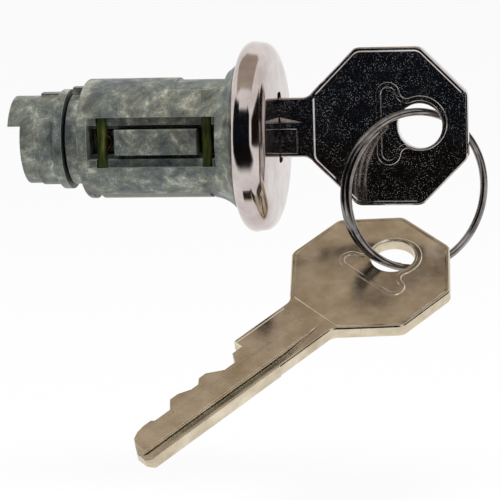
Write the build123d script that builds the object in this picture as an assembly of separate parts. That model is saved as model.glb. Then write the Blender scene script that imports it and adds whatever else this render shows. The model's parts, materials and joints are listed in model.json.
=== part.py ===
# Ignition lock cylinder with its key, a spare key and a split ring.
# Sizes are in millimetres. The origin is on the lock's axis, in the middle of
# the barrel's full-height stretch, behind the relief on top. +X leaves the face
# towards the key, +Z is up and the sidebar faces -Y.
import os
from math import cos, pi, radians, sin, sqrt
from build123d import *

# The barrel, a zinc die casting
barrel_d = 20.4
seat_len = 16.0                 # full height on top, from the rear shoulder to the relief
barrel_rear = -seat_len / 2     # rear shoulder of the barrel
flare_start = 22.2              # from here on, lengths are from the rear shoulder
flare_mid = 24.8
flare_end = 26.6
flare_mid_d = 22.4
flare_end_d = 26.0
rear_edge_r = 0.7
barrel_seam = 15.0              # degrees that the drawn profile is turned about the axis
neck_d = 15.4
neck_len = 2.4
spigot_d = 9.2
spigot_len = 1.95
relief_depth = 0.37
relief_half_angle = 28.0
lug_len = 2.3
lug_d = 18.0
lug_width = 3.0

# The face: a chromed cap drawn over the barrel's flange
cap_d = 32.2                    # over the rolled rim
cap_wall = 0.6
cap_rear = 27.2
cap_rear_r = 1.9
cap_valley = 30.4               # shallow crease between the rolled rim and the face's shoulder
cap_front_d = 31.8
cap_face = 32.8                 # where the soft shoulder meets the face
cap_shoulder_depth = 4.0        # the shoulder's reach towards the axis
cap_rise = 0.35                 # of the face's middle above its edge
cap_lip_d = 27.0
cap_fit = 0.04
cut_over = 1.0                  # every cutter reaches this far past what it cuts
weld = 0.2                      # and every added block this far into what carries it
face_slot_height = 11.9
face_slot_width = 3.3
face_slot_r = 0.8

# The drive tail, staked on the spigot behind the barrel
tail_gap = 0.55
tail_ring_d = 17.0
tail_ring_len = 1.65
tail_ring_chamfer = 0.35
tail_d = 15.0
tail_len = 5.8
tail_fit = 0.03
spigot_end_gap = 0.05
tang_len = 2.2
tang_floor = 2.75               # height of the tang's flat above the axis
tail_pad_d = 16.2
tail_pad_len = 3.3
tail_pad_width = 3.4
tail_step = 0.25                # the tail is this much larger beside its ring, on the radius

# Keys
key_thick = 2.3
head_flats = 26.5
head_corner_r = 2.0
head_root_r = 2.2
shank_len = 12.9
shank_height = 10.0
key_lift = 1.5                  # the shank's middle above the lock's axis
shoulder_x = 25.5               # where the shank's shoulder stops in the barrel
blade_height = 8.0
blade_len = 27.0
key_hole_d = 7.5
key_hole_offset = 5.25          # from the head's middle, away from the blade
border_width = 0.85
border_depth = 0.12
line_width = 0.3                # raised line round the key hole and the bar beside it
line_depth = 0.012              # the line's top below the head's face
field_corner_less = 0.6         # of the border's width: how much sharper the sunk field's corners are
hole_line_r = 4.3
bar_reach = 6.06                # from the hole's middle to the bar's straight side
bar_width = 2.9
bar_half_height = 6.0
bar_end_flat = 0.1              # left flat at the bar's rounded ends
groove_depth = 0.5              # each side has a groove: a steep wall and a slope towards the uncut edge
groove_full = 3.8               # it has its full depth up to here in the shank
groove_end = 12.0               # and runs out here
groove_left = (2.2, 1.7)        # steep wall's distance from the uncut edge, and the width
groove_right = (4.15, 1.8)
milled_depth = 0.09             # the blade's cut half is milled thinner, up into the shank
milled_end = 10.6
milled_edge = 0.65              # left standing beside the shank's cut side
milled_height = 4.1
tip_bevel_len = 1.2
tip_bevel_depth = 0.5
tip_bevel_over = 0.1            # the bevel's cutter past the tip
head_chamfer = 0.22

# Keyway in the barrel
keyway_fit = 0.2
keyway_top_fit = 0.15
keyway_end_gap = 0.3
shoulder_gap = 0.05             # a hair behind the key's shoulder
pocket_wider = 0.1              # the pocket for the shank, beyond the keyway on each side
pocket_fit = 0.25               # above and below the shank

# Tumblers: flat brass plates, each with a key window and a V notch
tumbler_count = 6
tumbler_pitch = 2.35
tumbler_middle = 13.75
tumbler_thick = 1.3
tumbler_half_width = 4.4
tumbler_window_half = 1.4
tumbler_top_band = 0.8
tumbler_bottom_band = 3.45
tumbler_corner_r = 1.4
sill_gap = 0.15                 # between the key's cut and the window's sill
window_head_gap = 0.1
notch_fit = 0.05                # between the notch and the sidebar's ridge, on the height
notch_deeper = 0.04
notch_over = 0.5                # the notch's cutter past the plate's edge
tumbler_fit = 0.06              # beside the plate
tumbler_side_fit = 0.08         # at the plate's edges
deepest_cut = 6.10              # height of the blade left at the deepest cut
cut_heights = (7.37, 7.37, 6.73, 6.73, 6.10, 6.10)   # from the shoulder to the tip
spring_free_rise = 0.15         # how far the deepest tumbler still rises
cut_flat_extra = 0.1            # a cut's flat is longer than the tumbler by this, each way
first_slope_len = 0.7           # from the full height down to the first cut
tip_slope_len = 2.4             # the cut edge falls from here to tip_cut_len from the tip
tip_cut_len = 0.7
tip_height = 4.0
tip_nose = (2.9, 0.9)           # the tip's blunt end, between these distances from the uncut edge
tip_nose_len = 0.9              # slope from the nose to the uncut edge

# Sidebar, its springs and cross pins, in the window on the -Y side
window_start = 1.9
window_end = 23.9
window_half_height = 4.2
ledge_depth = 8.3               # from the axis to the ledges
slot_half_height = 2.85
guide_depth = 6.6               # where the slot narrows to guide the sidebar
guide_end_gap = 0.08
sidebar_start = 6.5
sidebar_end = 20.6
sidebar_height = 4.3
sidebar_face = 9.5              # outer face with the right key in
sidebar_inner = 4.5
sidebar_travel = 1.15
sidebar_fit = 0.06
ridge_depth = 1.0
ridge_half_height = 1.3
ridge_fit = 0.06
ridge_groove_fit = 0.12         # round the ridge in the barrel
ridge_groove_end = 0.6          # the barrel's groove stops this far inside the window's ends
sidebar_edge_r = 0.25
ridge_overrun = 0.8             # the ridge runs this far past the sidebar's ends
front_tab_shorter = 0.6
tab_reach = 3.3
tab_height = 3.4
tab_face = 5.3
pin_d = 1.7
pin_from_end = 2.35             # from the window's rear end
pin_from_front = 1.7            # from the window's front end
pin_fit = 0.03
pin_chamfer = 0.15
side_spring_d = 2.6
side_spring_wire = 0.3
side_spring_turns = 2.5
post_gap = 0.12                 # between a post and its pin
post_height = 1.3
post_rise = 0.65

# Spring retainer that closes the tumbler channel under the barrel
channel_start = 1.2
channel_end = 22.2
channel_half_width = 4.6
channel_depth = 8.25
retainer_start = 2.8
retainer_end = 21.5
retainer_fit = 0.05
tumbler_spring_d = 1.24
tumbler_spring_wire = 0.2
tumbler_spring_turns = 3.5
spring_end_gap = 0.05           # at each end of the sidebar's springs
spring_seat_gap = 0.03          # between the retainer and a tumbler's spring
spring_top_gap = 0.07           # between that spring and its tumbler
spring_wire_sides = 4
spring_seat_width = 1.5
spring_seat_depth = 1.2

# Split ring of steel wire, and how it and the spare key lie
wire_d = 1.34
ring_wire_sides = 10            # the round wire is drawn with this many flats
ring_r = 13.13                  # to the wire's middle
ring_turns = 1.37
ring_step = 1.40                # from one turn to the next, side by side
ring_start_angle = 131.0
ring_across = Vector(0.8021, 0.5918, -0.0798)
ring_up = Vector(0.0903, 0.0119, 0.9958)
ring_at_key = 88.5              # where on the ring the first key hangs
ring_in_key_hole = 2.3          # from the hole's middle to the wire's middle
ring_key_shift = 0.403
ring_at_spare = 255.6
ring_in_spare_hole = 0.79
ring_spare_shift = -0.572
spare_headward = Vector(0.6381, 0.6376, 0.4315)
spare_uncut_side = Vector(0.7691, -0.5024, -0.395)

# Worked out from the sizes above
barrel_r = barrel_d / 2
face_apex = cap_face + cap_rise
dome_rim_r = cap_front_d / 2 - cap_shoulder_depth
dome_r = (dome_rim_r ** 2 + cap_rise ** 2) / (2 * cap_rise)
head_u = shank_len + head_flats / 2
hole_u = head_u + key_hole_offset
uncut_v = shank_height / 2
tumbler_spots = [tumbler_middle + tumbler_pitch * ((tumbler_count - 1) / 2 - i) for i in range(tumbler_count)]
deepest_sill = key_lift + uncut_v - deepest_cut - sill_gap
deepest_window_top = key_lift + uncut_v + window_head_gap + max(cut_heights) - deepest_cut
tumbler_top = deepest_window_top + tumbler_top_band
tumbler_bottom = deepest_sill - tumbler_bottom_band
slot_half_x = tumbler_thick / 2 + tumbler_fit


def from_rear(x):
    """A length measured from the barrel's rear shoulder, as an X in the part's frame."""
    return barrel_rear + x


def solid_box(x0, x1, y0, y1, z0, z1):
    return Pos((x0 + x1) / 2, (y0 + y1) / 2, (z0 + z1) / 2) * Box(x1 - x0, y1 - y0, z1 - z0)


def rod_x(x0, x1, r, y=0.0, z=0.0):
    return Pos((x0 + x1) / 2, y, z) * Rot(0, 90, 0) * Cylinder(r, x1 - x0)


def turned(edges):
    """A profile in the XZ plane, turned about the lock's axis."""
    return revolve(Plane.XZ * make_face(edges), Axis.X)


def dome_x(r, inset):
    """X of the domed face at radius r, inset from the outside."""
    return from_rear(face_apex) - inset - (dome_r - sqrt(dome_r ** 2 - r ** 2))


def cap_blank():
    """The cap's outside as a solid."""
    x0, r, k = from_rear(cap_rear), cap_d / 2, cap_rear_r
    start, front_r = from_rear(cap_valley), cap_front_d / 2
    depth = cap_shoulder_depth
    end = (dome_x(dome_rim_r, 0), dome_rim_r)
    edges = [Line((x0, 0), (x0, r - k)),
             ThreePointArc((x0, r - k), (x0 + k * (1 - cos(pi / 4)), r - k * (1 - sin(pi / 4))), (x0 + k, r)),
             Line((x0 + k, r), (start, front_r)),
             EllipticalCenterArc((start, front_r - depth), end[0] - start, depth, start_angle=0, arc_size=90),
             ThreePointArc(end, (dome_x(dome_rim_r / 2, 0), dome_rim_r / 2), (from_rear(face_apex), 0)),
             Line((from_rear(face_apex), 0), (x0, 0))]
    return turned(edges)


def cap_hollow(inset):
    """The room inside the cap, smaller all round by inset."""
    x0, r = from_rear(cap_rear) + inset, cap_d / 2 - inset
    k = cap_rear_r - inset
    start, front_r = from_rear(cap_valley), cap_front_d / 2 - inset
    depth = cap_shoulder_depth - inset
    reach = dome_x(dome_rim_r, inset) - start
    points = [(x0, 0), (x0, r - k), (x0 + k, r), (start, front_r),
              (start + reach * sin(pi / 4), front_r - depth * (1 - cos(pi / 4))),
              (start + reach, front_r - depth), (dome_x(0, inset), 0)]
    return turned([Line(a, b) for a, b in zip(points, points[1:] + points[:1])])


def barrel_blank():
    rear = from_rear(0)
    r = barrel_r
    k = rear_edge_r
    arc_mid = (rear + k * (1 - cos(pi / 4)), r - k * (1 - sin(pi / 4)))
    neck_rear = rear - neck_len
    points = [(neck_rear - spigot_len, 0), (neck_rear - spigot_len, spigot_d / 2), (neck_rear, spigot_d / 2),
              (neck_rear, neck_d / 2), (rear, neck_d / 2), (rear, r - k)]
    edges = [Line(a, b) for a, b in zip(points, points[1:])]
    a, b = (from_rear(flare_start), r), (from_rear(flare_end), flare_end_d / 2)
    through = (from_rear(flare_mid), flare_mid_d / 2)
    end = from_rear(cap_rear + cap_wall) + cut_over
    edges += [ThreePointArc((rear, r - k), arc_mid, (rear + k, r)), Line((rear + k, r), a),
              ThreePointArc(a, through, b), Line(b, (end, b[1])), Line((end, b[1]), (end, 0)),
              Line((end, 0), points[0])]
    return turned(edges)


def tumbler_outline(rise, grow):
    """A tumbler's plate outline in YZ, moved up by rise and larger all round by grow."""
    half = tumbler_half_width + grow
    low, high = tumbler_bottom + rise - grow, tumbler_top + rise + grow
    face = Pos(0, (low + high) / 2) * Rectangle(2 * half, high - low)
    return fillet(face.vertices().group_by(Axis.Y)[-1], tumbler_corner_r)


def make_cylinder_body():
    body = Rot(barrel_seam, 0, 0) * barrel_blank() + cap_hollow(cap_wall + cap_fit)
    rear = from_rear(0)
    lug = rod_x(rear - lug_len, rear + weld, lug_d / 2)
    body += lug & solid_box(rear - lug_len, rear + weld, -lug_width / 2, lug_width / 2, neck_d / 4, barrel_r)

    # Keyway, with a wider pocket for the shank in front of it
    shank_low, shank_high = key_lift - shank_height / 2, key_lift + shank_height / 2
    way = key_thick / 2 + keyway_fit
    keyway_end = from_rear(shoulder_x - blade_len - keyway_end_gap)
    body -= solid_box(keyway_end, from_rear(shoulder_x + cut_over), -way, way,
                      shank_high - blade_height - keyway_fit, shank_high + keyway_top_fit)
    way += pocket_wider
    body -= solid_box(from_rear(shoulder_x - shoulder_gap), from_rear(face_apex), -way, way,
                      shank_low - pocket_fit, shank_high + pocket_fit)

    # Tumbler slots, open below into the channel that the retainer closes
    for x in tumbler_spots:
        low, high = from_rear(x) - slot_half_x, from_rear(x) + slot_half_x
        outline = tumbler_outline(spring_free_rise, tumbler_side_fit)
        half = tumbler_half_width + tumbler_side_fit
        slot = extrude(Plane.YZ.offset(low) * outline, high - low)
        body -= slot + solid_box(low, high, -half, half, -channel_depth - cut_over, 0)
    half = channel_half_width
    body -= solid_box(from_rear(channel_start), from_rear(channel_end), -half, half,
                      -barrel_r - cut_over, -channel_depth)

    # Sidebar window: recess, slot, guide and the groove for the ridge
    x0, x1 = from_rear(window_start), from_rear(window_end)
    body -= solid_box(x0, x1, -barrel_r - cut_over, -ledge_depth, -window_half_height, window_half_height)
    body -= solid_box(x0, x1, -ledge_depth - cut_over, -guide_depth, -slot_half_height, slot_half_height)
    guide = sidebar_height / 2 + sidebar_fit
    body -= solid_box(x0, x1, -guide_depth - cut_over, -sidebar_inner + guide_end_gap, -guide, guide)
    groove = Plane.YZ.offset(x0 + ridge_groove_end) * ridge_face(ridge_groove_fit)
    body -= extrude(groove, x1 - x0 - 2 * ridge_groove_end)
    for x in pin_spots():
        body -= Pos(x, -ledge_depth, 0) * Cylinder(pin_d / 2 + pin_fit, 2 * window_half_height)

    # Cast posts outside the pins, at the four corners of the window
    rear_pin, front_pin = pin_spots()
    reach = pin_d / 2 + post_gap
    for low, high in ((x0 - weld, rear_pin - reach), (front_pin + reach, x1 + weld)):
        for side in (-1, 1):
            z = sorted((side * (window_half_height + weld), side * (window_half_height - post_height)))
            body += solid_box(low, high, -ledge_depth - post_rise, -ledge_depth + weld, z[0], z[1])

    # Relief on top, in front of the bearing stretch
    over_r = barrel_r + 2 * cut_over
    sector = rod_x(from_rear(seat_len), from_rear(flare_mid), over_r)
    sector -= rod_x(from_rear(seat_len), from_rear(flare_mid), barrel_r - relief_depth)
    reach = over_r * sin(radians(relief_half_angle))
    return body - (sector & solid_box(from_rear(seat_len), from_rear(flare_mid), -reach, reach, 0, over_r))


def pin_spots():
    return (from_rear(window_start) + pin_from_end, from_rear(window_end) - pin_from_front)


def ridge_face(grow):
    """The sidebar's V ridge in YZ, grown by grow, pointing inwards."""
    base = -sidebar_inner - weld
    tip = -sidebar_inner + ridge_depth + grow
    slope = ridge_half_height / ridge_depth
    half = slope * (tip - base)
    return make_face(Polyline((base, -half), (tip, 0), (base, half), close=True))


def make_face_cap():
    cap = cap_blank() - cap_hollow(cap_wall)
    x0 = from_rear(cap_rear)
    cap -= rod_x(x0 - cut_over, x0 + cap_wall + cut_over, cap_lip_d / 2)
    slot = Plane.YZ.offset(from_rear(cap_valley)) * Pos(0, key_lift)
    return cap - extrude(slot * RectangleRounded(face_slot_width, face_slot_height, face_slot_r), face_apex)


def make_drive_tail():
    front = from_rear(-neck_len - tail_gap)
    ring_rear = front - tail_ring_len
    rear = ring_rear - tail_len
    r, c = tail_ring_d / 2, tail_ring_chamfer
    step, wide = ring_rear - tail_pad_len, tail_d / 2 + tail_step
    points = [(rear, 0), (rear, tail_d / 2), (step, tail_d / 2), (step, wide), (ring_rear, wide),
              (ring_rear, r - c), (ring_rear + c, r), (front, r), (front, 0)]
    tail = turned([Line(a, b) for a, b in zip(points, points[1:] + points[:1])])
    tang = rod_x(rear - tang_len, rear, tail_d / 2)
    tail += tang & solid_box(rear - tang_len, rear, -tail_d, tail_d, tang_floor, tail_d)
    pad = rod_x(ring_rear - tail_pad_len, ring_rear, tail_pad_d / 2)
    tail += pad & solid_box(ring_rear - tail_pad_len, ring_rear, -tail_pad_width / 2, tail_pad_width / 2,
                            tail_d / 4, tail_d)
    bore_end = from_rear(-neck_len - spigot_len) - spigot_end_gap
    return tail - rod_x(bore_end, front + cut_over, spigot_d / 2 + tail_fit)


def make_retainer():
    half = channel_half_width - retainer_fit
    x0, x1 = from_rear(retainer_start), from_rear(retainer_end)
    strip = rod_x(x0, x1, barrel_r - retainer_fit)
    return strip & solid_box(x0, x1, -half, half, -barrel_r, -channel_depth - retainer_fit)


def make_sidebar():
    x0, x1 = from_rear(sidebar_start), from_rear(sidebar_end)
    half = sidebar_height / 2
    head = solid_box(x0, x1, -sidebar_face, -sidebar_inner, -half, half)
    head = fillet(head.faces().sort_by(Axis.Y)[0].edges(), sidebar_edge_r)
    tabs = solid_box(x0 - tab_reach, x1 + tab_reach - front_tab_shorter, -tab_face, -sidebar_inner,
                     -tab_height / 2, tab_height / 2)
    ridge = extrude(Plane.YZ.offset(x0 - ridge_overrun) * ridge_face(-ridge_fit), x1 - x0 + 2 * ridge_overrun)
    return head + tabs + ridge


def make_pin(x):
    pin = Pos(x, -ledge_depth, 0) * Cylinder(pin_d / 2, 2 * (window_half_height - pin_fit))
    return chamfer(pin.edges().filter_by(GeomType.CIRCLE), pin_chamfer)


def coil(start, direction, length, coil_d, wire, turns):
    """A coil spring from start along direction."""
    r = (coil_d - wire) / 2
    clear = wire / 2
    pitch = (length - wire) / turns
    path = Edge.make_helix(pitch, length - wire, r)
    first = path @ 0
    tangent = path % 0
    section = Plane(origin=first, z_dir=tangent) * RegularPolygon(clear, spring_wire_sides)
    body = sweep(section, path=path, is_frenet=True)
    frame = Plane(origin=start + direction * clear, z_dir=direction)
    return frame * body


def make_side_spring(x):
    length = ledge_depth - pin_d / 2 - tab_face - 2 * spring_end_gap
    return coil(Vector(x, -tab_face - spring_end_gap, 0), Vector(0, -1, 0), length, side_spring_d,
                side_spring_wire, side_spring_turns)


def make_tumbler(i):
    lower = cut_heights[i] - deepest_cut
    plate = tumbler_outline(-lower, 0)
    sill, head = deepest_sill - lower, deepest_window_top - lower
    plate -= Pos(0, (sill + head) / 2) * Rectangle(2 * tumbler_window_half, head - sill)
    edge = -tumbler_half_width
    gap = sidebar_inner - tumbler_half_width
    depth = ridge_depth - gap + notch_deeper
    outer = edge - notch_over
    half = ridge_half_height + notch_fit + notch_over * ridge_half_height / ridge_depth
    plate -= make_face(Polyline((outer, -half), (edge + depth, 0), (outer, half), close=True))
    low = tumbler_bottom - lower
    plate -= Pos(0, low + spring_seat_depth / 2) * Rectangle(spring_seat_width, spring_seat_depth)
    x = from_rear(tumbler_spots[i]) - tumbler_thick / 2
    return extrude(Plane.YZ.offset(x) * plate, tumbler_thick)


def make_tumbler_spring(i):
    lower = cut_heights[i] - deepest_cut
    top = tumbler_bottom - lower + spring_seat_depth
    length = top + channel_depth - spring_seat_gap - spring_top_gap
    start = Vector(from_rear(tumbler_spots[i]), 0, -channel_depth + spring_seat_gap)
    return coil(start, Vector(0, 0, 1), length, tumbler_spring_d, tumbler_spring_wire, tumbler_spring_turns)


def staircase_cuts():
    """Cut edge of the key in the lock: (distance from the shoulder, height left), falling towards the tip."""
    edge = []
    flat = tumbler_thick / 2 + cut_flat_extra
    for x, height in zip(tumbler_spots, cut_heights):
        away = shoulder_x - x
        edge += [(away - flat, height), (away + flat, height)]
    edge += [(blade_len - tip_slope_len, deepest_cut), (blade_len - tip_cut_len, tip_height)]
    return [(edge[0][0] - first_slope_len, blade_height)] + edge


def spare_cuts():
    """Cut edge of the spare key, as it was cut."""
    return [(2.2, 8.0), (3.3, 6.2), (5.5, 6.2), (8.1, 7.9), (9.6, 7.9), (10.6, 6.95), (12.1, 6.95),
            (14.2, 7.8), (15.9, 7.8), (17.4, 6.1), (20.5, 6.1), (21.1, 6.6), (22.6, 6.6), (24.1, 6.3),
            (25.4, 5.6), (26.3, 4.2)]


def make_key(cuts):
    """A key in its own plane: X towards the head, Y towards the uncut edge, zero at the shoulder."""
    shank = Pos((shank_len + cut_over) / 2, 0) * Rectangle(shank_len + cut_over, shank_height)
    head = octagon(head_flats, head_corner_r) + shank
    roots = [v for v in head.vertices() if abs(v.X - shank_len) < 2 * weld and abs(abs(v.Y) - uncut_v) < weld]
    head = fillet(roots, head_root_r)
    lower = [(-away, uncut_v - height) for away, height in cuts]
    nose = [(-blade_len, uncut_v - away) for away in tip_nose] + [(tip_nose_len - blade_len, uncut_v)]
    outline = [(cut_over, uncut_v - blade_height), (0, uncut_v - blade_height)] + lower + nose
    outline += [(cut_over, uncut_v)]
    blade = make_face(Polyline(*outline, close=True))
    half = key_thick / 2
    body = extrude(head, half, both=True)
    body -= Pos(hole_u, 0, 0) * Cylinder(key_hole_d / 2, key_thick + cut_over)
    head_edges = [edge for edge in body.edges() if edge.position_at(0.5).X > weld]
    body = chamfer([edge for edge in head_edges if abs(edge.tangent_at(0.5).Z) < 0.5], head_chamfer)
    body += extrude(blade, half, both=True)
    field = octagon(head_flats - 2 * border_width, head_corner_r - border_width * field_corner_less)
    line = hole_mark(0) - hole_mark(line_width)
    for side, (drop, width) in ((-1, groove_left), (1, groove_right)):
        face = side * half
        body -= extrude(Pos(0, 0, face) * field, -side * border_depth)
        body += extrude(Pos(0, 0, face - side * border_depth) * line, side * (border_depth - line_depth))
        body -= groove_cutter(side, uncut_v - drop, width)
        body -= milled_cutter(side)
    return body


def octagon(flats, corner_r):
    """The head's outline, or one inside it."""
    shape = Pos(head_u, 0) * Rot(0, 0, 22.5) * RegularPolygon(flats / 2, 8, major_radius=False)
    return fillet(shape.vertices(), corner_r)


def hole_mark(inset):
    """The outline round the key hole and the bar beside it, smaller all round by inset."""
    width, height = bar_width - 2 * inset, 2 * (bar_half_height - inset)
    bar = RectangleRounded(width, height, (width - bar_end_flat) / 2)
    return Pos(hole_u - bar_reach + bar_width / 2, 0) * bar + Pos(hole_u, 0) * Circle(hole_line_r - inset)


def groove_cutter(side, wall_v, width):
    """A wedge along the blade that tilts out of the shank's side."""
    face, deep = side * key_thick / 2, side * (key_thick / 2 - groove_depth)
    slope = width / groove_depth
    over = side * (key_thick / 2 + groove_depth)
    section = Plane.YZ.offset(groove_full) * make_face(Polyline(
        (wall_v, deep), (wall_v, over), (wall_v + 2 * slope * groove_depth, over), close=True))
    along = extrude(section, -blade_len - groove_full - cut_over)
    rise = side * groove_depth / (groove_end - groove_full)
    run_out = extrude(section, groove_end + cut_over, dir=(1, 0, rise))
    return along + run_out


def milled_cutter(side):
    """A shallow step that thins the cut half of the blade and of the shank's rear part."""
    low = -uncut_v + milled_edge
    high = low + milled_height
    shank_part = Rectangle(milled_end + cut_over, milled_height)
    shank_part = Pos((milled_end - cut_over) / 2, (low + high) / 2) * shank_part
    blade_part = Rectangle(blade_len + 2 * weld, high + uncut_v)
    blade_part = Pos(-blade_len / 2 - weld, (high - uncut_v) / 2) * blade_part
    face = side * key_thick / 2
    return extrude(Pos(0, 0, face) * (shank_part + blade_part), -side * milled_depth) + tip_cutter(side)


def tip_cutter(side):
    """A wedge that bevels the tip."""
    face = side * key_thick / 2
    inner = face - side * tip_bevel_depth
    end = -blade_len - tip_bevel_over
    wedge = Polyline((end, face + side), (tip_bevel_len - blade_len, face), (end, inner), close=True)
    return extrude(Plane.XZ.offset(-uncut_v - cut_over) * make_face(wedge), 2 * (uncut_v + cut_over))


def key_place(shoulder, headward, uncut):
    return Plane(origin=shoulder, x_dir=headward, z_dir=headward.cross(uncut))


def ring_plane():
    up = ring_up.normalized()
    axis = ring_across.cross(up).normalized()
    across = up.cross(axis)
    hole = Vector(from_rear(shoulder_x + hole_u), 0, key_lift)
    a = radians(ring_at_key)
    out = across * cos(a) + up * sin(a)
    centre = hole - out * (ring_r - ring_in_key_hole) + axis * ring_key_shift
    return Plane(origin=centre, x_dir=across, z_dir=axis)


def spare_plane():
    plane = ring_plane()
    a = radians(ring_at_spare)
    out = plane.x_dir * cos(a) + plane.y_dir * sin(a)
    hole = plane.origin + out * (ring_r - ring_in_spare_hole) + plane.z_dir * ring_spare_shift
    headward = spare_headward.normalized()
    return key_place(hole - headward * hole_u, headward, spare_uncut_side)


def make_ring():
    """One unbroken wire, wound a little over a turn and sprung flat, turn against turn."""
    rise = ring_step * ring_turns
    path = Edge.make_helix(ring_step, rise, ring_r, lefthand=True)
    section = Plane(origin=path @ 0, z_dir=path % 0) * RegularPolygon(wire_d / 2, ring_wire_sides)
    wire = sweep(section, path=path, is_frenet=True)
    last_angle = ring_start_angle + 360 * ring_turns
    return ring_plane() * Rot(0, 0, last_angle) * Pos(0, 0, -rise / 2) * wire


parts = {
    "cylinder_body": make_cylinder_body(),
    "face_cap": make_face_cap(),
    "drive_tail": make_drive_tail(),
    "spring_retainer": make_retainer(),
    "sidebar": make_sidebar(),
}
for name, x in zip(("rear", "front"), pin_spots()):
    parts[f"sidebar_pin_{name}"] = make_pin(x)
    parts[f"sidebar_spring_{name}"] = make_side_spring(x)
for i in range(tumbler_count):
    parts[f"tumbler_{i + 1}"] = make_tumbler(i)
    parts[f"tumbler_spring_{i + 1}"] = make_tumbler_spring(i)
lock_key_plane = key_place(Vector(from_rear(shoulder_x), 0, key_lift), Vector(1, 0, 0), Vector(0, 0, 1))
parts["ignition_key"] = lock_key_plane * make_key(staircase_cuts())
parts["spare_key"] = spare_plane() * make_key(spare_cuts())
parts["key_ring"] = make_ring()

os.makedirs("parts", exist_ok=True)
for name, solid in parts.items():
    export_step(solid, f"parts/{name}.step")
    print(name, round(solid.volume, 2), "mm3")
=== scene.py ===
# %% [markdown]
# An ignition lock cylinder: a grey zinc barrel with a chromed face, a key in it and a spare
# key on a split ring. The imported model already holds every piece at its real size, so this
# lesson dresses those pieces. It sets the camera, gives each metal the finish that its
# making left on it, presses the raised forms into the key heads, winds the ring and the
# springs of round wire, and lights it all in a white room.

# %% Load the frame
import json
import math

import bmesh
import bpy
from mathutils import Matrix, Vector

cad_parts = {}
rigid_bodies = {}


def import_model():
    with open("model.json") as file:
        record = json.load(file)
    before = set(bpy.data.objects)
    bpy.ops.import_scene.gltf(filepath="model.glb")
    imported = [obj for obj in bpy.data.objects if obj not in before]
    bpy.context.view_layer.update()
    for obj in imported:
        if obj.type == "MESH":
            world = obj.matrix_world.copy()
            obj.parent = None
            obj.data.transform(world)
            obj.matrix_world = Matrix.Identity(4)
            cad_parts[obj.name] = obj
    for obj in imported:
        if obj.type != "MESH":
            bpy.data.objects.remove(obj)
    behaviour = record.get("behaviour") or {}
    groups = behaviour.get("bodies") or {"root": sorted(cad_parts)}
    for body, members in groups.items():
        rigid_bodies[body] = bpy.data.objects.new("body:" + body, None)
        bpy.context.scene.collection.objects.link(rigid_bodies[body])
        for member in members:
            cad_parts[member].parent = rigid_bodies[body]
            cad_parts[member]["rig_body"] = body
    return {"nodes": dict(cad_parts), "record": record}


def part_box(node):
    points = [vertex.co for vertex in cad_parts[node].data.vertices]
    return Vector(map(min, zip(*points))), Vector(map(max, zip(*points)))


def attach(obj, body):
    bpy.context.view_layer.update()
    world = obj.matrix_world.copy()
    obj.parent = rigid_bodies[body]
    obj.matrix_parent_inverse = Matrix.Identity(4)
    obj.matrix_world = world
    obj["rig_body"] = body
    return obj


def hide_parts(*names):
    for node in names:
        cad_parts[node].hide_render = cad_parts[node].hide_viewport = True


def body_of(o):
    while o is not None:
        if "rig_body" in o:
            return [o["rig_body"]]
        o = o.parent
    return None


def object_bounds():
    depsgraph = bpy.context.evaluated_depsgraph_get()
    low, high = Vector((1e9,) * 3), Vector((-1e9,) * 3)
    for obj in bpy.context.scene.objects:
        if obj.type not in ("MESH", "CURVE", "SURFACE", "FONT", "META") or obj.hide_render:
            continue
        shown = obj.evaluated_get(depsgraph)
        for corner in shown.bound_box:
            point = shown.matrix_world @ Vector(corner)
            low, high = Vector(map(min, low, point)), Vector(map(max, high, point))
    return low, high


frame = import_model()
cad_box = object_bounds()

MM = 0.001
scene = bpy.context.scene
print("nodes in the frame:", len(frame["nodes"]))

# %% [markdown]
# The photograph was taken with a long lens, from a little to the right of the barrel and
# a little above it. The direction from the lock to the camera comes first, with the
# picture's right and up, which are rolled by a small angle because the lock lay so.

# %% The view's direction
AZIMUTH, ELEVATION, ROLL = map(math.radians, (11.21, 7.18, 1.66))

level = math.cos(ELEVATION)
towards = Vector((math.sin(AZIMUTH) * level, -math.cos(AZIMUTH) * level, math.sin(ELEVATION)))
level_right = Vector((math.cos(AZIMUTH), math.sin(AZIMUTH), 0))
level_up = towards.cross(level_right)
right = math.cos(ROLL) * level_right - math.sin(ROLL) * level_up
up = math.sin(ROLL) * level_right + math.cos(ROLL) * level_up
print("towards the camera:", [round(part, 3) for part in towards])

# %% [markdown]
# The camera's distance and lens give the photo's scale of about six pixels to a millimetre.
# The lock sits left of and above the middle of the picture because the camera is moved
# sideways, not turned, so its lines stay as the photo shows them.

# %% Camera
DISTANCE = 450 * MM
PIXELS_PER_MM = 5.91
PHOTO_SIDE = 500
SENSOR = 36                                     # mm, as the lens
BARREL_REAR, TO_MIDDLE = -8 * MM, 25 * MM
AIM = Vector((BARREL_REAR + TO_MIDDLE, 0, 0))
AIM_RIGHT, AIM_UP = -2.80 * MM, 19.16 * MM      # where the aim shows, from the picture's middle
NEAR, FAR = 0.01, 20                            # metres

camera_data = bpy.data.cameras.new("camera")
camera = bpy.data.objects.new("camera", camera_data)
scene.collection.objects.link(camera)
scene.camera = camera
camera_data.sensor_width = SENSOR
camera_data.lens = SENSOR * PIXELS_PER_MM * (DISTANCE / MM) / PHOTO_SIDE
camera_data.clip_start, camera_data.clip_end = NEAR, FAR
camera.matrix_world = Matrix((right, up, towards)).transposed().to_4x4()
camera.location = AIM + towards * DISTANCE - right * AIM_RIGHT - up * AIM_UP
print("lens", round(camera_data.lens, 1), "mm")

# %% [markdown]
# Colours are written as sRGB hex values, as a picker shows them, and one function turns
# them into the linear values that the shader works with. A colour ramp turns a pattern
# into colours, or into grey levels where it drives a number such as the roughness.

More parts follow.
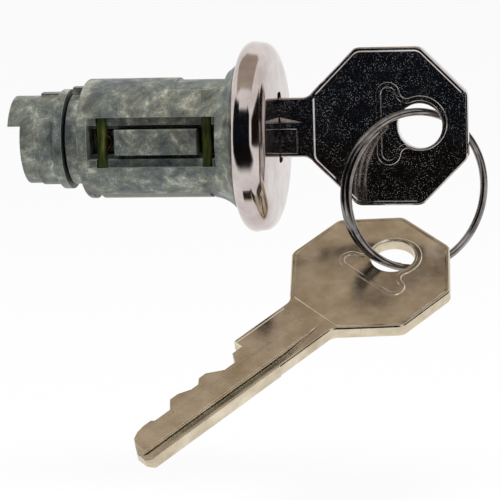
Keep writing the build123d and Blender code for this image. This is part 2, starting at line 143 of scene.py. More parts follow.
# %% Colours
def linear(hex_colour):
    """sRGB hex to linear RGBA."""
    channels = [int(hex_colour[i:i + 2], 16) / 255 for i in (1, 3, 5)]
    return [c / 12.92 if c <= 0.04045 else ((c + 0.055) / 1.055) ** 2.4 for c in channels] + [1.0]


def set_stops(elements, stops):
    """Give a colour ramp its stops, from pairs of a position and a hex colour or grey level."""
    while len(elements) < len(stops):
        elements.new(0.5)
    for element, (position, colour) in zip(elements, stops):
        element.position = position
        element.color = linear(colour) if isinstance(colour, str) else (colour, colour, colour, 1)


print("mid grey in linear light:", round(linear("#808080")[0], 3))

# %% [markdown]
# A finish is a shader fed by patterns. One small function adds any node with its settings
# and its inputs, so that each finish below reads as a short list. The patterns read the
# place on the piece in metres, so a scale can be given as so many features to a millimetre.

# %% Nodes
COLOUR_MIX = {"data_type": "RGBA", "blend_type": "MIX"}
COLOUR_TIMES = {"data_type": "RGBA", "blend_type": "MULTIPLY"}


def settle(tree, node, **inputs):
    """Set a node's inputs, named or numbered as i0, i1. A node as value means its first output."""
    for name, value in inputs.items():
        key = int(name[1:]) if name[1:].isdigit() else name.replace("_", " ")
        if isinstance(value, bpy.types.Node):
            value = value.outputs[0]
        if isinstance(value, bpy.types.NodeSocket):
            tree.links.new(value, node.inputs[key])
        else:
            node.inputs[key].default_value = value
    return node


def add(tree, kind, settings=None, **inputs):
    """Add a node with its settings, which may be a ramp's stops, and its inputs."""
    node = tree.nodes.new(kind)
    for name, value in (settings or {}).items():
        if name == "stops":
            set_stops(node.color_ramp.elements, value)
        else:
            setattr(node, name, value)
    return settle(tree, node, **inputs)


def new_material(name):
    """A material, its node tree, its shader, and the place on the piece in metres."""
    made = bpy.data.materials.new(name)
    made.use_nodes = True
    tree = made.node_tree
    place = add(tree, "ShaderNodeTexCoord").outputs["Object"]
    return made, tree, tree.nodes["Principled BSDF"], place


finishes = {}
print("a pattern of 0.34 to a millimetre has features", round(1 / 0.34, 1), "mm wide")

# %% [markdown]
# Two things show that a metal part is real and handled: its edges are slightly round, and
# they are rubbed bright. The Bevel node bends the normal near an edge, which rounds it to
# the eye at no cost in faces. Where the bent normal differs from the flat one, an edge is near.

# %% Relief and worn edges
BEVEL_SAMPLES = 8
ALL_WORN, UNWORN = 0.80, 0.985   # cosines of the angle by which the normal is bent


def relief(tree, shader, height, depth, edge, strength):
    """Bump of a depth in mm over edges that are rounded by a radius in mm."""
    rounded = add(tree, "ShaderNodeBevel", {"samples": BEVEL_SAMPLES}, Radius=edge * MM)
    bump = add(tree, "ShaderNodeBump", Strength=strength, Distance=depth * MM, Height=height,
               Normal=rounded)
    settle(tree, shader, Normal=bump)


def edge_mask(tree, radius):
    """Bright along sharp edges, where handling wears them."""
    rounded = add(tree, "ShaderNodeBevel", {"samples": BEVEL_SAMPLES}, Radius=radius * MM)
    flat = add(tree, "ShaderNodeNewGeometry").outputs["Normal"]
    same = add(tree, "ShaderNodeVectorMath", {"operation": "DOT_PRODUCT"}, i0=rounded, i1=flat)
    return add(tree, "ShaderNodeValToRGB", {"stops": ((ALL_WORN, 1.0), (UNWORN, 0.0))},
               i0=same.outputs["Value"])


print("an edge shows worn where the normal turns by", round(math.degrees(math.acos(UNWORN))), "degrees")

# %% [markdown]
# The barrel, sidebar and tail are zinc die castings. A casting keeps the mould's fine skin:
# it is matt, and handling leaves it mottled. One noise makes clouds 3 mm across, which a
# slower one bends so that they seem to have flowed with the melt. The skin's own grain is
# finer than the picture can show, so it is drawn five times as coarse. A third noise tints
# the grey from bluish to yellowish. Recesses are painted near black as shade, and the edges
# are rubbed pale. The dull skin is half a metal to the eye, hence the middling Metallic.

# %% Die-cast zinc
made, tree, shader, place = new_material("die_cast_zinc")
flow = add(tree, "ShaderNodeTexNoise", Vector=place, Scale=0.10 / MM, Detail=2.0, Roughness=0.6)
bent = add(tree, "ShaderNodeVectorMath", {"operation": "MULTIPLY_ADD"}, i0=flow, i1=(6 * MM,) * 3, i2=place)
clouds = add(tree, "ShaderNodeTexNoise", Vector=bent, Scale=0.34 / MM, Detail=10.0, Roughness=0.70)
grain = add(tree, "ShaderNodeTexNoise", Vector=place, Scale=4.5 / MM, Detail=3.0, Roughness=0.6)
both = add(tree, "ShaderNodeMath", {"operation": "MULTIPLY_ADD"}, i0=grain, i1=0.35, i2=clouds)
grey = add(tree, "ShaderNodeValToRGB", {"stops": (
    (0.48, "#484b4e"), (0.61, "#686b69"), (0.72, "#85877f"), (0.86, "#c4c4bb"))}, i0=both)

slow = add(tree, "ShaderNodeTexNoise", Vector=place, Scale=0.12 / MM, Detail=3.0, Roughness=0.6)
tint = add(tree, "ShaderNodeValToRGB", {"stops": (
    (0.36, "#ccd4e0"), (0.50, "#f8fff8"), (0.66, "#f2ece0"))}, i0=slow)
tinted = add(tree, "ShaderNodeMix", COLOUR_TIMES, i0=0.8, i6=grey, i7=tint).outputs[2]
worn = add(tree, "ShaderNodeMix", COLOUR_MIX, i0=edge_mask(tree, 0.12), i6=tinted, i7=linear("#c8cbc4"))
# Painted shade: faces with other faces within 2 mm of them are darkened to near black.
open_air = add(tree, "ShaderNodeAmbientOcclusion", {"samples": 8}, Distance=2.0 * MM).outputs["AO"]
unshaded_share = add(tree, "ShaderNodeValToRGB", {"stops": ((0.12, 0.0), (0.34, 1.0))}, i0=open_air)
painted_recess_shade = add(tree, "ShaderNodeMix", COLOUR_MIX, i0=unshaded_share, i6=linear("#0d0d0b"), i7=worn.outputs[2])
matt = add(tree, "ShaderNodeValToRGB", {"stops": ((0.3, 0.38), (0.7, 0.58))}, i0=grain)
settle(tree, shader, Base_Color=painted_recess_shade.outputs[2], Metallic=0.55, Roughness=matt)
relief(tree, shader, both, depth=0.03, edge=0.15, strength=0.7)
finishes["zinc_casting"] = made
print("made", made.name)

# %% [markdown]
# The face cap is drawn steel with bright chrome plate. Chrome is smooth and nearly
# colourless, so its look is all reflection. A faint haze of fine scratches, in patches
# about 5 mm across, softens it.

# %% Chrome plate
made, tree, shader, place = new_material("bright_chrome_plate")
haze = add(tree, "ShaderNodeTexNoise", Vector=place, Scale=0.22 / MM, Detail=5.0, Roughness=0.6)
colour = add(tree, "ShaderNodeValToRGB", {"stops": ((0.35, "#b9adaa"), (0.65, "#d2c8c3"))}, i0=haze)
gloss = add(tree, "ShaderNodeValToRGB", {"stops": ((0.35, 0.09), (0.7, 0.15))}, i0=haze)
settle(tree, shader, Base_Color=colour, Metallic=1.0, Roughness=gloss)
finishes["chrome_plate"] = made
print("made", made.name)

# %% [markdown]
# The cross pins are zinc-plated steel with an olive dichromate film. It is a thin, slightly
# glossy coat that runs from dark green to olive. Its edges are painted yellow brown, partly
# as film rubbed through at the ends and partly as a painted glint. The pins were drawn as
# wire, so the film's streaks are half a millimetre wide and five times as long along the pin.

# %% Olive dichromate
made, tree, shader, place = new_material("olive_dichromate_zinc")
drawn = add(tree, "ShaderNodeMapping", Vector=place, Scale=(1.0, 1.0, 0.2))
film = add(tree, "ShaderNodeTexNoise", Vector=drawn, Scale=1.6 / MM, Detail=4.0, Roughness=0.6)
colour = add(tree, "ShaderNodeValToRGB", {"stops": (
    (0.32, "#161d0a"), (0.52, "#323d16"), (0.74, "#5d5c24"))}, i0=film)
# Edges yellow brown: film rubbed through, and a painted glint.
rubbed_and_glinting_edges = add(tree, "ShaderNodeMix", COLOUR_MIX, i0=edge_mask(tree, 0.12), i6=colour, i7=linear("#c9ac5e"))
settle(tree, shader, Base_Color=rubbed_and_glinting_edges.outputs[2], Metallic=0.45, Roughness=0.30)
relief(tree, shader, film, depth=0.02, edge=0.08, strength=0.3)
finishes["dichromate_zinc"] = made
print("made", made.name)

# %% [markdown]
# The other metals differ in colour, gloss and the size of their stains, but each was rolled
# or drawn and then handled, so one function makes them. Specks are dust and pits: they are
# dull, so they show pale where a polished face mirrors something dark. Real ones are a
# hundredth of a millimetre across, and they are drawn coarser, about four to a millimetre.

# %% Rolled and drawn metals
SPECKS_PER_MM = 4.2


def rolled_metal(name, dark, light, gloss, per_mm, edge=0.05, rub=None, specks=0.0):
    """A metal whose stains, so many to a mm, run from dark to light and from gloss to haze."""
    made, tree, shader, place = new_material(name)
    stain = add(tree, "ShaderNodeTexNoise", Vector=place, Scale=per_mm / MM, Detail=6.0, Roughness=0.62)
    colour = add(tree, "ShaderNodeValToRGB", {"stops": ((0.36, dark), (0.66, light))}, i0=stain).outputs[0]
    if rub:
        worn = add(tree, "ShaderNodeMix", COLOUR_MIX, i0=edge_mask(tree, 0.25), i6=colour, i7=linear(rub))
        colour = worn.outputs[2]
    settle(tree, shader, Metallic=1.0)
    if specks:
        dots = add(tree, "ShaderNodeTexVoronoi", Vector=place, Scale=SPECKS_PER_MM / MM, Randomness=1.0)
        dot = add(tree, "ShaderNodeValToRGB", {"stops": ((0.12, 1.0), (0.28, 0.0))},
                  i0=dots.outputs["Distance"])
        drifts = add(tree, "ShaderNodeTexNoise", Vector=place, Scale=0.5 / MM, Detail=5.0, Roughness=0.6)
        drift = add(tree, "ShaderNodeValToRGB", {"stops": ((0.40, 0.25), (0.58, 1.0))}, i0=drifts)
        gathered = add(tree, "ShaderNodeMath", {"operation": "MULTIPLY"}, i0=dot, i1=drift)
        amount = add(tree, "ShaderNodeMath", {"operation": "MULTIPLY"}, i0=gathered, i1=specks)
        dusty = add(tree, "ShaderNodeMix", COLOUR_MIX, i0=amount, i6=colour, i7=linear("#a9b0bb"))
        colour = dusty.outputs[2]
        bare = add(tree, "ShaderNodeValToRGB", {"stops": ((0.0, 1.0), (1.0, 0.0))}, i0=amount)
        settle(tree, shader, Metallic=bare)
    haze = add(tree, "ShaderNodeValToRGB", {"stops": ((0.32, gloss[0]), (0.72, gloss[1]))}, i0=stain)
    settle(tree, shader, Base_Color=colour, Roughness=haze)
    relief(tree, shader, stain, depth=0.006, edge=edge, strength=0.4)
    print("made", made.name)
    return made


print("specks are drawn", round(1 / SPECKS_PER_MM, 2), "mm apart")

# %% [markdown]
# Six of the part's metals come from this one function. What sets them apart is how each was
# made: oiled strip is dull, drawn wire is smooth, and a plated blank is nearly a mirror.

# %% Strip, brass, bronze, nickel and steel
# Cold-rolled strip, stamped and left oiled, so it is dull.
finishes["steel_strip"] = rolled_metal("stamped_steel_strip", "#55554f", "#85857c", (0.36, 0.5), 0.6)
# Tumblers stamped from rolled brass, which slides keep half bright.
finishes["brass"] = rolled_metal("stamped_brass", "#8a6a34", "#c39a54", (0.28, 0.42), 0.5)
# Spring wire drawn from bronze, redder than brass and smooth along its length.
finishes["phosphor_bronze"] = rolled_metal("drawn_phosphor_bronze", "#7a3f24", "#c07a4a", (0.22, 0.36), 0.8)
# The first key: nickel plate on a polished blank, a mirror with dust on it.
finishes["nickel_plate"] = rolled_metal(
    "bright_nickel_plate", "#aaa29f", "#d6cfcb", (0.04, 0.10), 0.25, edge=0.15, specks=0.5)
# The spare key: solid nickel silver, warm grey, its edges rubbed pale in the pocket.
finishes["nickel_silver"] = rolled_metal(
    "worn_nickel_silver", "#bfb097", "#e4d8c2", (0.15, 0.26), 0.20, edge=0.2, rub="#f4ebdc")
# The ring: hard drawn steel wire, tumbled to a polish.
finishes["spring_steel"] = rolled_metal("polished_spring_steel", "#6f6b69", "#a09b98", (0.14, 0.24), 0.4)

# %% [markdown]
# The record names the metal of each piece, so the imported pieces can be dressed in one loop.
# Their meshes are left as they are.

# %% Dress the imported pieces
slot_of = {part["node"]: part["material_slot"] for part in frame["record"]["subparts"]}
for name, node in frame["nodes"].items():
    node.data.materials.clear()
    node.data.materials.append(finishes[slot_of[name]])
print("dressed", len(slot_of), "pieces in", len(finishes), "finishes")

# %% [markdown]
# Some pieces get a finer mesh than the imported one. Each new piece takes the finish named by
# the slot of the node that it stands for, and that node's moving body, and the node is hidden.
# Its place is in its mesh, so its object stays at the origin.

# %% New pieces in place of packed ones
def mesh_object(name, mesh):
    """An object from a bmesh, which is used up."""
    data = bpy.data.meshes.new(name)
    mesh.to_mesh(data)
    mesh.free()
    made = bpy.data.objects.new(name, data)
    scene.collection.objects.link(made)
    return made


def stand_in(piece, node):
    """Let a new piece take the place of a packed one."""
    piece.data.materials.clear()
    piece.data.materials.append(finishes[slot_of[node]])
    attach(piece, body_of(frame["nodes"][node])[0])
    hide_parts(node)
    print(piece.name, "stands for", node, "with", len(piece.data.polygons), "faces")
    return piece


# %% [markdown]
# The press that marked the key heads sank a field into each side and left two raised forms:
# a sloping border, and a band that runs round the hole and the bar beside it. The forms are
# drawn once, in a key's own lengths, with X from the shoulder to the end of the head, Y to
# the uncut edge and Z out of the face. One matrix for each key then carries them to it.

# %% Where the keys lie
def key_frame(origin, headward, uncut):
    """From a key's own lengths, measured at its shoulder, to the part's frame."""
    headward = Vector(headward).normalized()
    out = headward.cross(Vector(uncut)).normalized()
    turn = Matrix((headward, out.cross(headward), out)).transposed().to_4x4()
    return Matrix.Translation(Vector(origin) * MM) @ turn


key_places = {
    "ignition_key": key_frame((17.5, 0, 1.5), (1, 0, 0), (0, 0, 1)),
    "spare_key": key_frame((24.0169, -22.1405, -34.4587), (0.6381, 0.6376, 0.4315),
                           (0.7691, -0.5024, -0.395)),
}
for name, place in key_places.items():
    print(name, "has its shoulder at", [round(part / MM, 1) for part in place.translation], "mm")

# %% [markdown]
# The sunk field is cut with a solid that widens upwards: a low cone of eight sides. What it
# leaves standing is the border, whose inner side slopes as a press leaves it. The cone's
# upright edges are rounded first, because a punch has no sharp corners.

# %% The sunk field of a key head
HEAD_MIDDLE = Vector((26.15, 0, 0)) * MM
FIELD_FLATS, RIM_FLATS = 24.86 * MM, 25.4 * MM     # across the octagon, at the bottom and top
FIELD_DEPTH, FIELD_CORNER = 0.12 * MM, 0.6 * MM
UNDER = 0.004 * MM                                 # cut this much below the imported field
UPRIGHT = 0.1                                      # radians between the faces at a corner


def octagonal_cutter(face):
    """A solid with sloping sides, from just under the field to above the face."""
    mesh = bmesh.new()
    spread = math.cos(math.pi / 8)
    low_r, high_r = FIELD_FLATS / 2 / spread, RIM_FLATS / 2 / spread
    deep, slope = FIELD_DEPTH + UNDER, (high_r - low_r) / FIELD_DEPTH
    height = 2 * deep
    bmesh.ops.create_cone(mesh, cap_ends=True, segments=8, radius1=low_r,
                          radius2=low_r + slope * height, depth=height)
    bmesh.ops.transform(mesh, matrix=Matrix.Rotation(math.pi / 8, 4, "Z"), verts=mesh.verts)
    corners = [edge for edge in mesh.edges if edge.calc_face_angle(0) > UPRIGHT
               and abs(edge.verts[0].co.z - edge.verts[1].co.z) > height / 2]
    bmesh.ops.bevel(mesh, geom=corners, offset=FIELD_CORNER, segments=4, profile=0.5,
                    affect="EDGES", material=-1)
    lift = Vector((0, 0, face - deep + height / 2))
    bmesh.ops.translate(mesh, vec=HEAD_MIDDLE + lift, verts=mesh.verts)
    return mesh


slant = math.degrees(math.atan2(FIELD_DEPTH, (RIM_FLATS - FIELD_FLATS) / 2))
print("the border slopes by", round(slant), "degrees")

# %% [markdown]
# The band is a plain outline, so it is drawn as one is with compasses. A single point starts
# at the bar's left edge and is spun round one centre after another: the bar's upper end, the
# hollow blend into the hole's rim, the rim itself, and the same two again below.

# %% The outline of the band
BAR_LEFT, BAR_ROUND, BAR_STRAIGHT = -7.2 * MM, 1.95 * MM, 4.95 * MM    # from the hole's middle
BLEND_AT = Vector((-2.1249, 5.3429, 0)) * MM
SAME_POINT = 0.002 * MM
END_STEPS, BLEND_STEPS, RIM_STEPS = 18, 10, 48


def band_outline():
    """The band's outer line, drawn clockwise from the bar's left edge."""
    mesh = bmesh.new()
    start = mesh.verts.new((BAR_LEFT, -BAR_STRAIGHT, 0))
    last = bmesh.ops.extrude_vert_indiv(mesh, verts=[start])["verts"][0]
    last.co.y = BAR_STRAIGHT
    bar_end = Vector((BAR_LEFT + BAR_ROUND, BAR_STRAIGHT, 0))
    to_blend = BLEND_AT - bar_end
    leaves = math.atan2(to_blend.y, to_blend.x)
    meets = math.atan2(BLEND_AT.y, BLEND_AT.x)
    below = Vector((1, -1, 1))
    arcs = ((bar_end, leaves - math.pi, END_STEPS),
            (BLEND_AT, meets - leaves, BLEND_STEPS),
            (Vector((0, 0, 0)), -2 * meets, RIM_STEPS),
            (BLEND_AT * below, meets - leaves, BLEND_STEPS),
            (bar_end * below, leaves - math.pi, END_STEPS))
    for centre, angle, count in arcs:
        done = bmesh.ops.spin(mesh, geom=[last], cent=centre, axis=(0, 0, 1), angle=angle, steps=count)
        last = [item for item in done["geom_last"] if isinstance(item, bmesh.types.BMVert)][0]
    bmesh.ops.remove_doubles(mesh, verts=mesh.verts, dist=SAME_POINT)
    return mesh


print("the bar is", round(2 * (BAR_STRAIGHT + BAR_ROUND) / MM, 1), "mm long")

# %% [markdown]
# The closed line is filled and inset for the band's width, and its middle is thrown away.
# What is left is raised. It starts a little under the field, so that the two run into each
# other and no gap shows along the band's foot.

# %% The raised band
HOLE = Vector((31.4, 0, 0)) * MM
BAND_HEIGHT, BAND_WIDTH, BAND_SHIFT = 0.11 * MM, 0.75 * MM, 0.45 * MM
ROOT = 0.03 * MM                                   # the band starts this deep in the field


def hole_band(face, shift):
    """The raised band on one side, shifted to the uncut edge or away from it."""
    mesh = band_outline()
    bmesh.ops.contextual_create(mesh, geom=mesh.edges[:])
    mesh.normal_update()
    inset = bmesh.ops.inset_region(mesh, faces=mesh.faces[:], thickness=BAND_WIDTH,
                                   use_boundary=True, use_even_offset=True)["faces"]
    bmesh.ops.delete(mesh, geom=[inner for inner in mesh.faces if inner not in inset], context="FACES")
    raised = bmesh.ops.extrude_face_region(mesh, geom=mesh.faces[:])["geom"]
    top = [item for item in raised if isinstance(item, bmesh.types.BMVert)]
    bmesh.ops.translate(mesh, vec=(0, 0, BAND_HEIGHT + ROOT), verts=top)
    foot = HOLE + Vector((0, shift * BAND_SHIFT, face - FIELD_DEPTH - ROOT))
    bmesh.ops.translate(mesh, vec=foot, verts=mesh.verts)
    bmesh.ops.recalc_face_normals(mesh, faces=mesh.faces)
    return mesh


print("the band is", round(BAND_WIDTH / MM, 2), "mm wide and", round(BAND_HEIGHT / MM, 2), "mm high")

# %% [markdown]
# Cutting one solid with another is a Boolean modifier's work. Its result is baked into the
# mesh, so that the cutters can go and nothing live is left on the piece. The exact solver
# is slower than the fast one, but it copes with faces that nearly touch, as these do.

# %% Cutting
def carve(target, cutters):
    """Cut the target with some solids, which are then thrown away."""
    for cutter in cutters:
        cut = target.modifiers.new(cutter.name, "BOOLEAN")
        cut.operation, cut.solver, cut.object = "DIFFERENCE", "EXACT", cutter
    carved = target.evaluated_get(bpy.context.evaluated_depsgraph_get())
    target.data = bpy.data.meshes.new_from_object(carved)
    target.modifiers.clear()
    for cutter in cutters:
        bpy.data.objects.remove(cutter)


print("meshes before the cutting:", len(bpy.data.meshes))

# %% [markdown]
# The press set the band a little off the hole's middle, so some of it would hang over the
# hole. Each band is therefore drilled with a plain cylinder of the hole's size before it
# joins the key.

# %% A drilled band
KEY_THICK = 2.3 * MM
HOLE_EDGE, DRILL_LENGTH = 3.97 * MM, 8 * MM


def placed(mesh, place):
    """The same mesh, moved to its place."""
    bmesh.ops.transform(mesh, matrix=place, verts=mesh.verts)
    return mesh


def drilled_band(place, turn, shift):
    """The band of one side at its place, without what would hang over the hole."""
    band = mesh_object("band", placed(hole_band(KEY_THICK / 2, shift), place @ turn))
    drill = bmesh.new()
    bmesh.ops.create_cone(drill, cap_ends=True, segments=64, radius1=HOLE_EDGE,
                          radius2=HOLE_EDGE, depth=DRILL_LENGTH)
    bmesh.ops.translate(drill, vec=HOLE, verts=drill.verts)
    carve(band, [mesh_object("drill", placed(drill, place))])
    return band


print("the drill is", round(2 * HOLE_EDGE / MM, 2), "mm wide")

# %% [markdown]
# Now the forms come together on a copy of each packed key. Its mesh is loose triangles, so
# their corners are merged before it is cut. The side walls of the head are shaded smooth
# and the pressed faces flat, because sharp reflections are what shows the forms. The copy
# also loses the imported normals, which no longer fit its faces.

# %% The pressed key heads
LOOSE_CORNERS = 0.001 * MM       # the loose triangles' corners meet within this
SIDE_WALL = 0.1                  # how far a side wall's normal may lean out of the key's plane
SMOOTH_BELOW = math.radians(20)
# The turn that gives each side of the head, and the way its band is shifted.
SIDES = ((Matrix.Identity(4), 1), (Matrix.Rotation(math.pi, 4, "X"), -1))


def shade(mesh, through):
    """Smooth side walls, and edges that stay sharp where they turn by much."""
    for face in mesh.faces:
        face.smooth = abs(face.normal.dot(through)) < SIDE_WALL
    for edge in mesh.edges:
        edge.smooth = edge.calc_face_angle(0) < SMOOTH_BELOW


def pressed_key(node, place):
    """A copy of a key with the pressed forms on both sides of its head."""
    packed = frame["nodes"][node]
    mesh = bmesh.new()
    mesh.from_mesh(packed.data)
    placed(mesh, packed.matrix_world)
    bmesh.ops.remove_doubles(mesh, verts=mesh.verts, dist=LOOSE_CORNERS)
    key = mesh_object(node + "_pressed", mesh)
    fields = [placed(octagonal_cutter(KEY_THICK / 2), place @ turn) for turn, shift in SIDES]
    carve(key, [mesh_object("field", field) for field in fields])
    whole = bmesh.new()
    whole.from_mesh(key.data)
    for turn, shift in SIDES:
        band = drilled_band(place, turn, shift)
        whole.from_mesh(band.data)
        bpy.data.objects.remove(band)
    bmesh.ops.recalc_face_normals(whole, faces=whole.faces)
    shade(whole, through=place.col[2].to_3d())
    whole.to_mesh(key.data)
    whole.free()
    old_normals = key.data.attributes.get("custom_normal")
    if old_normals:
        key.data.attributes.remove(old_normals)
    return stand_in(key, node)


for name, place in key_places.items():
    pressed_key(name, place)

# %% [markdown]
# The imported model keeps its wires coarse, with flat sides and few turns. Here they are wound
# again as the real ones are: a small circle is spun about the coil's axis with a step along
# it. Each new wire keeps the outside size and the place of the node that it stands for. Its
# two ends are filled and lightly bevelled, as a cut and tumbled wire's are.

# %% A wound wire
END_SHARE = 12                   # a wire's ends are bevelled by a twelfth of its thickness


def wound_wire(node, centre, across, axis, radius, wire_d, turns, length, steps, sides, hand=1):
    """A round wire about an axis, with its first end across from the centre. A hand of -1 is left."""
    axis, across = axis.normalized(), across.normalized()
    start = centre + across * radius - axis * length / 2
    mesh = bmesh.new()
    bmesh.ops.create_circle(mesh, segments=sides, radius=wire_d / 2)
    turn = Matrix((across, axis, across.cross(axis))).transposed().to_4x4()
    bmesh.ops.transform(mesh, matrix=Matrix.Translation(start) @ turn, verts=mesh.verts)
    count = math.ceil(steps * turns)
    bmesh.ops.spin(mesh, geom=mesh.verts[:] + mesh.edges[:], cent=centre, axis=axis,
                   dvec=axis * length / count, angle=hand * math.tau * turns, steps=count)
    bmesh.ops.holes_fill(mesh, edges=[edge for edge in mesh.edges if edge.is_boundary])
    rims = [edge for edge in mesh.edges if any(len(face.verts) > 4 for face in edge.link_faces)]
    bmesh.ops.bevel(mesh, geom=rims, offset=wire_d / END_SHARE, segments=2, profile=0.5,
                    affect="EDGES", material=-1)
    bmesh.ops.recalc_face_normals(mesh, faces=mesh.faces)
    for face in mesh.faces:
        face.smooth = len(face.verts) == 4
    return stand_in(mesh_object(node + "_wire", mesh), node)


print("a wire of 1.3 mm has its ends bevelled by", round(1.3 / END_SHARE, 2), "mm")

# %% [markdown]
# The split ring is wound a little over a turn, with its turns side by side. It hangs from the
# hole of the first key, tilted as in the photograph, with both of its ends towards the camera.
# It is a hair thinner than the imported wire, so that its round turns stay inside that one's box.

# %% The split ring
RING_RADIUS, RING_WIRE = 13.12 * MM, 1.30 * MM
RING_TURNS, RING_STEP = 1.37, 1.40 * MM
RING_START = math.radians(131)
RING_ACROSS = Vector((0.8021, 0.5918, -0.0798))
RING_UP = Vector((0.0903, 0.0119, 0.9958)).normalized()
KEY_HOLE = Vector((48.9, 0, 1.5)) * MM
KEY_ON_RING, IN_KEY_HOLE, KEY_SHIFT = math.radians(88.5), 2.3 * MM, 0.403 * MM

ring_axis = RING_ACROSS.cross(RING_UP).normalized()
ring_across = RING_UP.cross(ring_axis)


def on_ring(angle):
    """The direction from the ring's middle at an angle from its across."""
    return ring_across * math.cos(angle) + RING_UP * math.sin(angle)


ring_centre = KEY_HOLE - on_ring(KEY_ON_RING) * (RING_RADIUS - IN_KEY_HOLE) + ring_axis * KEY_SHIFT
wound_wire("key_ring", ring_centre, on_ring(RING_START), -ring_axis, RING_RADIUS, RING_WIRE,
           RING_TURNS, RING_STEP * RING_TURNS, steps=96, sides=24, hand=-1)
print("ring about", [round(part / MM, 1) for part in ring_centre], "mm")

# %% [markdown]
# The small springs are bronze wire. The two behind the cross pins push the sidebar inwards,
# and the six under the tumblers push them up. A spring's box in the frame gives its axis,
# length and outside diameter.

# %% Coil springs
SIDE_WIRE, SIDE_TURNS = 0.3 * MM, 4.5
TUMBLER_WIRE, TUMBLER_TURNS = 0.2 * MM, 7.5


def spring(node, axis, wire_d, turns):
    """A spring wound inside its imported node's box."""
    low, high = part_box(node)
    size = high - low
    wound_wire(node, (low + high) / 2, Vector((1, 0, 0)), axis, (size.x - wire_d) / 2, wire_d,
               turns, abs(size.dot(axis)) - wire_d, steps=20, sides=10)


for place in ("rear", "front"):
    spring("sidebar_spring_" + place, Vector((0, -1, 0)), SIDE_WIRE, SIDE_TURNS)
for number in range(1, 7):
    spring("tumbler_spring_" + str(number), Vector((0, 0, 1)), TUMBLER_WIRE, TUMBLER_TURNS)
print("turns of a sidebar spring:", SIDE_TURNS, "and of a tumbler spring:", TUMBLER_TURNS)

# %% [markdown]
# The set is a white room, built of flat cards that are many times as long as the part. Each
# is one face of a grid with its own paint. A glow of one colour comes with it, for what is
# seen of it.

# %% A stage card
def card(name, centre, facing, size, colour):
    """A flat stage card, its node tree, and a glow of an even colour for it."""
    mesh = bmesh.new()
    mesh.loops.layers.uv.new()
    bmesh.ops.create_grid(mesh, x_segments=1, y_segments=1, size=0.5, calc_uvs=True)
    bmesh.ops.scale(mesh, vec=(*size, 1), verts=mesh.verts)
    turn = Vector(facing).to_track_quat("Z", "Y").to_matrix().to_4x4()
    sheet = mesh_object(name, placed(mesh, Matrix.Translation(centre) @ turn))
    paint = bpy.data.materials.new(name)
    paint.use_nodes = True
    sheet.data.materials.append(paint)
    glow = add(paint.node_tree, "ShaderNodeEmission", Color=linear(colour), Strength=1.0)
    return sheet, paint.node_tree, glow


print("a card of one metre is", round(1 / (cad_box[1] - cad_box[0]).x), "times as long as the part")

# %% [markdown]
# The first card is the floor. It lies where the spare key just clears it when the ring swings
# to its lowest. The camera and mirrors see it nearly white, and only its own shader takes the
# lamps' light, so it keeps the shadow.

# %% Floor
FLOOR = -62.5 * MM
FLOOR_SIDE = 8                   # metres
FLOOR_GLOW = 0.93                # how much of what the camera sees of it is plain white


def sees_white(tree):
    """1 for the rays that should find a white room: from the camera, off a mirror, through glass."""
    path = add(tree, "ShaderNodeLightPath").outputs
    seen = add(tree, "ShaderNodeMath", {"operation": "MAXIMUM"},
               i0=path["Is Camera Ray"], i1=path["Is Glossy Ray"])
    return add(tree, "ShaderNodeMath", {"operation": "MAXIMUM"}, i0=seen, i1=path["Is Transmission Ray"])


floor, tree, glow = card("floor", (0, 0, FLOOR), (0, 0, 1), (FLOOR_SIDE, FLOOR_SIDE), "#ffffff")
shader = tree.nodes["Principled BSDF"]
settle(tree, shader, Base_Color=linear("#e4e4e2"), Roughness=0.9, Specular_IOR_Level=0.0)
share = add(tree, "ShaderNodeMath", {"operation": "MULTIPLY"}, i0=sees_white(tree), i1=FLOOR_GLOW)
mixed = add(tree, "ShaderNodeMixShader", i0=share, i1=shader, i2=glow)
settle(tree, tree.nodes["Material Output"], Surface=mixed)
print("floor", round((cad_box[0].z - FLOOR) / MM, 1), "mm under the part")

# %% [markdown]
# A polished metal shows what stands round it, and in a room all white it would look like
# paper. So four cards stand there that only mirrors see, as the photo's reflections ask for
# them: the dark room behind the camera, a dark doorway to the right, a dark table in front,
# and a dull ceiling. Each fades out towards its edges, so that no hard line is mirrored.
# Their places and sizes are in metres.

# %% Cards that mirrors see
FADE = 0.12                      # of a card's width, over which its edge fades
TABLE = cad_box[0][2] + 4 * MM


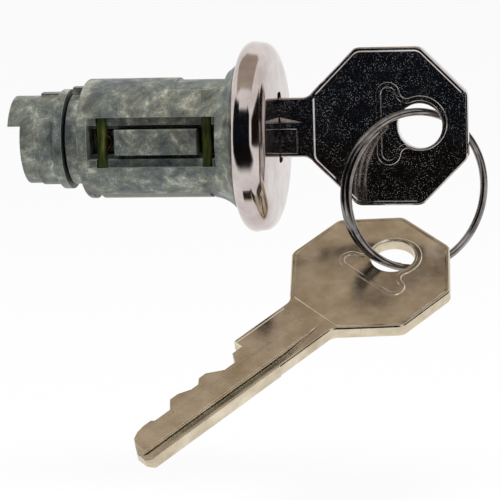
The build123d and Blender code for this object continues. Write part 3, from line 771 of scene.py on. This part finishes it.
def mirror_card(name, centre, facing, size, colour):
    """A card that only reflections see, fading out towards its edges."""
    sheet, tree, glow = card(name, centre, facing, size, colour)
    uv = add(tree, "ShaderNodeUVMap")
    from_middle = add(tree, "ShaderNodeVectorMath", {"operation": "SUBTRACT"}, i0=uv, i1=(0.5, 0.5, 0.0))
    reach = add(tree, "ShaderNodeVectorMath", {"operation": "ABSOLUTE"}, i0=from_middle)
    parts = add(tree, "ShaderNodeSeparateXYZ", i0=reach).outputs
    furthest = add(tree, "ShaderNodeMath", {"operation": "MAXIMUM"}, i0=parts[0], i1=parts[1])
    solid = add(tree, "ShaderNodeMapRange", {"interpolation_type": "SMOOTHSTEP"}, i0=furthest,
                i1=0.5, i2=0.5 - FADE, i3=0.0, i4=1.0)
    clear = add(tree, "ShaderNodeBsdfTransparent")
    faded = add(tree, "ShaderNodeMixShader", i0=solid, i1=clear, i2=glow)
    settle(tree, tree.nodes["Material Output"], Surface=faded)
    sheet.visible_camera = sheet.visible_diffuse = sheet.visible_shadow = False
    print("card", sheet.name, "of", size, "m")


mirror_card("dark_room", (-0.127, -0.372, 0.06), (0.5, 0.86, 0), (1.05, 0.72), "#12151b")
mirror_card("dark_doorway", (0.52, -0.09, 0.02), (-0.985, 0.17, 0), (0.80, 0.50), "#1c1613")
mirror_card("dark_table", (-0.10, -0.22, TABLE), (0, 0.1, 1), (0.60, 0.30), "#141210")
mirror_card("dull_ceiling", (-0.08, 0.02, 0.55), (0, 0, -1), (0.9, 0.7), "#b8ada1")

# %% [markdown]
# The world is the white room. It fills the shadows gently, and it is full white only to the
# camera, to mirrors and through glass, so the background is white without any extra light
# on the object.

# %% The white room
ROOM_FILL = 0.40

world = bpy.data.worlds.new("white_room")
scene.world = world
world.use_nodes = True
tree = world.node_tree
strength = add(tree, "ShaderNodeMapRange", i0=sees_white(tree), i3=ROOM_FILL, i4=1.0)
settle(tree, tree.nodes["Background"], Color=linear("#ffffff"), Strength=strength)
print("the room fills at", ROOM_FILL)

# %% [markdown]
# One large soft lamp above the camera lights the object, and a weak one on each side models
# its round forms. Mirrors don't see the lamps, because the cards and the white room make
# the reflections. The level is low enough that a colour renders about as it is written.
# Each lamp's place, its aim and its size are in metres, and its power is in watts.

# %% Lamps
def lamp(name, place, aim, size, power):
    """A soft rectangular lamp, turned to what it lights."""
    data = bpy.data.lights.new(name, "AREA")
    data.shape = "RECTANGLE"
    data.size, data.size_y = size
    data.energy = power
    made = bpy.data.objects.new(name, data)
    scene.collection.objects.link(made)
    made.location = place
    made.rotation_euler = (Vector(aim) - Vector(place)).to_track_quat("-Z", "Y").to_euler()
    made.visible_glossy = False
    print("lamp", name, power, "W")


lamp("over_camera", (0.10, -0.30, 0.70), (0.02, 0, -0.01), (0.5, 0.3), 6.4)
lamp("left_window", (-0.55, -0.35, 0.30), (0, 0, 0), (0.3, 0.5), 0.7)
lamp("right_fill", (0.60, -0.25, 0.15), (0.02, 0, 0), (0.3, 0.4), 1.4)
scene.view_settings.view_transform = "Standard"
